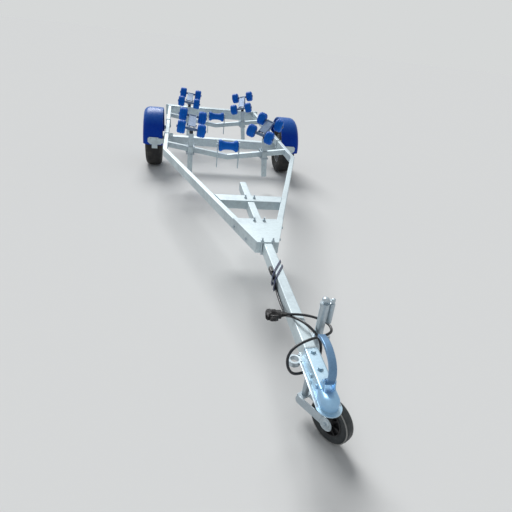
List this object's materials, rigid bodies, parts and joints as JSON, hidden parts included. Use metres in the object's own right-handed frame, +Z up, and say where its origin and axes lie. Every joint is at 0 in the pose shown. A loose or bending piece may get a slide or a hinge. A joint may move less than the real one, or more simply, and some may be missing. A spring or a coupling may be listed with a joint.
{
  "type": "roller boat trailer",
  "caption": "Unbraked single-axle boat trailer with galvanised A-frame, bent keel beams, wobble rollers, blue mudguards, ball coupling and jockey wheel.",
  "frame": {"origin": "centre of the bounding box's bottom face, on the ground the trailer is parked on", "axes": "+X to the right seen from the coupling, +Y to the rear, +Z up"},
  "size_m": [1.76, 5.648, 0.8025],
  "materials": {
    "galvanised": "hot-dip galvanised, dull",
    "zinc": "zinc plated, slightly glossy",
    "silver_steel": "silver wheel paint",
    "mudguard_blue": "moulded plastic, semi-gloss",
    "roller_blue": "soft moulded roller, matt",
    "lamp_red": "moulded lens",
    "black_plastic": "matt",
    "tyre": "dusty rubber"
  },
  "bodies": {
    "chassis": {"side_rail_left": "galvanised", "side_rail_right": "galvanised", "drawbar": "galvanised", "apex_plate": "galvanised", "crossmember": "galvanised", "front_keel_beam": "galvanised", "rear_keel_beam": "galvanised", "light_board": "galvanised", "axle_tube": "galvanised", "axle_pads": "galvanised", "swing_arm_left": "galvanised", "swing_arm_right": "galvanised", "mudguard_stays": "galvanised", "roller_posts": "galvanised", "roller_heads": "galvanised", "keel_bracket_front": "galvanised", "keel_bracket_rear": "galvanised", "coupling_body": "zinc", "jockey_clamp": "zinc", "jockey_tube": "zinc", "prop_clamp": "zinc", "drawbar_bolts": "zinc", "rail_clamps": "zinc", "post_clamps": "zinc", "rail_bolts": "zinc", "mudguard_left": "mudguard_blue", "mudguard_right": "mudguard_blue", "tail_lamps": "lamp_red", "cable_lashings": "black_plastic", "cable_entry": "black_plastic", "cable": "black_plastic", "plug": "black_plastic", "post_collars": "black_plastic"},
    "wheel_left": {"tyre_left": "tyre", "rim_left": "silver_steel", "hub_left": "zinc"},
    "wheel_right": {"tyre_right": "tyre", "rim_right": "silver_steel", "hub_right": "zinc"},
    "keel_front": {"keel_roller_front": "roller_blue"},
    "keel_rear": {"keel_roller_rear": "roller_blue"},
    "rocker_body_front_left": {"rocker_front_left": "galvanised"},
    "pair_front_left_a": {"rollers_front_left_a": "roller_blue"},
    "pair_front_left_b": {"rollers_front_left_b": "roller_blue"},
    "rocker_body_front_right": {"rocker_front_right": "galvanised"},
    "pair_front_right_a": {"rollers_front_right_a": "roller_blue"},
    "pair_front_right_b": {"rollers_front_right_b": "roller_blue"},
    "rocker_body_rear_left": {"rocker_rear_left": "galvanised"},
    "pair_rear_left_a": {"rollers_rear_left_a": "roller_blue"},
    "pair_rear_left_b": {"rollers_rear_left_b": "roller_blue"},
    "rocker_body_rear_right": {"rocker_rear_right": "galvanised"},
    "pair_rear_right_a": {"rollers_rear_right_a": "roller_blue"},
    "pair_rear_right_b": {"rollers_rear_right_b": "roller_blue"},
    "lever": {"coupling_lever": "zinc"},
    "leg": {"jockey_leg": "zinc"},
    "fork": {"jockey_fork": "zinc"},
    "caster_wheel": {"jockey_tyre": "tyre", "jockey_rim": "black_plastic"},
    "crank": {"jockey_crank": "zinc"}
  },
  "joints": [
    {"name": "wheel_left_spin", "type": "hinge", "parent": "chassis", "child": "wheel_left", "pos_m": [-0.774, 1.3, 0.28], "axis": [1, 0, 0], "continuous": true},
    {"name": "wheel_right_spin", "type": "hinge", "parent": "chassis", "child": "wheel_right", "pos_m": [0.774, 1.3, 0.28], "axis": [1, 0, 0], "continuous": true},
    {"name": "keel_roller_front_spin", "type": "hinge", "parent": "chassis", "child": "keel_front", "pos_m": [0, 0.499, 0.456], "axis": [1, 0, 0], "continuous": true},
    {"name": "keel_roller_rear_spin", "type": "hinge", "parent": "chassis", "child": "keel_rear", "pos_m": [0, 2.075, 0.456], "axis": [1, 0, 0], "continuous": true},
    {"name": "rocker_front_left_tilt", "type": "hinge", "parent": "chassis", "child": "rocker_body_front_left", "pos_m": [-0.37575, 0.499, 0.63196], "axis": [0.9897, -0.0346, -0.1392], "range_deg": [-43, 13]},
    {"name": "rollers_front_left_a_spin", "type": "hinge", "parent": "rocker_body_front_left", "child": "pair_front_left_a", "pos_m": [-0.38136, 0.35753, 0.6272], "axis": [0.9897, -0.0346, -0.1392], "continuous": true},
    {"name": "rollers_front_left_b_spin", "type": "hinge", "parent": "rocker_body_front_left", "child": "pair_front_left_b", "pos_m": [-0.36212, 0.62362, 0.69794], "axis": [0.9897, -0.0346, -0.1392], "continuous": true},
    {"name": "rocker_front_right_tilt", "type": "hinge", "parent": "chassis", "child": "rocker_body_front_right", "pos_m": [0.35877, 0.499, 0.63107], "axis": [0.8682, -0.4424, -0.225], "range_deg": [-46, 10]},
    {"name": "rollers_front_right_a_spin", "type": "hinge", "parent": "rocker_body_front_right", "child": "pair_front_right_a", "pos_m": [0.29225, 0.3745, 0.61918], "axis": [0.8682, -0.4424, -0.225], "continuous": true},
    {"name": "rollers_front_right_b_spin", "type": "hinge", "parent": "rocker_body_front_right", "child": "pair_front_right_b", "pos_m": [0.42851, 0.59967, 0.70228], "axis": [0.8682, -0.4424, -0.225], "continuous": true},
    {"name": "rocker_rear_left_tilt", "type": "hinge", "parent": "chassis", "child": "rocker_body_rear_left", "pos_m": [-0.35971, 2.075, 0.63196], "axis": [0.9921, -0.0694, -0.1045], "range_deg": [-43, 13]},
    {"name": "rollers_rear_left_a_spin", "type": "hinge", "parent": "rocker_body_rear_left", "child": "pair_rear_left_a", "pos_m": [-0.37008, 1.9338, 0.62718], "axis": [0.9921, -0.0694, -0.1045], "continuous": true},
    {"name": "rollers_rear_left_b_spin", "type": "hinge", "parent": "rocker_body_rear_left", "child": "pair_rear_left_b", "pos_m": [-0.34404, 2.19923, 0.69822], "axis": [0.9921, -0.0694, -0.1045], "continuous": true},
    {"name": "rocker_rear_right_tilt", "type": "hinge", "parent": "chassis", "child": "rocker_body_rear_right", "pos_m": [0.33829, 2.075, 0.63065], "axis": [0.9285, -0.2662, 0.2588], "range_deg": [-52, 4]},
    {"name": "rollers_rear_right_a_spin", "type": "hinge", "parent": "rocker_body_rear_right", "child": "pair_rear_right_a", "pos_m": [0.30664, 1.93938, 0.60467], "axis": [0.9285, -0.2662, 0.2588], "continuous": true},
    {"name": "rollers_rear_right_b_spin", "type": "hinge", "parent": "rocker_body_rear_right", "child": "pair_rear_right_b", "pos_m": [0.34821, 2.18976, 0.71311], "axis": [0.9285, -0.2662, 0.2588], "continuous": true},
    {"name": "coupling_lever_lift", "type": "hinge", "parent": "chassis", "child": "lever", "pos_m": [0, -2.74, 0.478], "axis": [1, 0, 0], "range_deg": [0, 55]},
    {"name": "jockey_slide", "type": "slide", "parent": "chassis", "child": "leg", "axis": [0, 0, 1], "range_m": [0, 0.13]},
    {"name": "jockey_swivel", "type": "hinge", "parent": "leg", "child": "fork", "pos_m": [0.0565, -2.452, 0.104], "axis": [0, 0, 1], "continuous": true},
    {"name": "jockey_wheel_spin", "type": "hinge", "parent": "fork", "child": "caster_wheel", "pos_m": [0.1355, -2.58883, 0.1], "axis": [0.866, 0.5, 0], "continuous": true},
    {"name": "jockey_crank_turn", "type": "hinge", "parent": "chassis", "child": "crank", "pos_m": [0.0565, -2.452, 0.605], "axis": [0, 0, 1], "continuous": true}
  ]
}
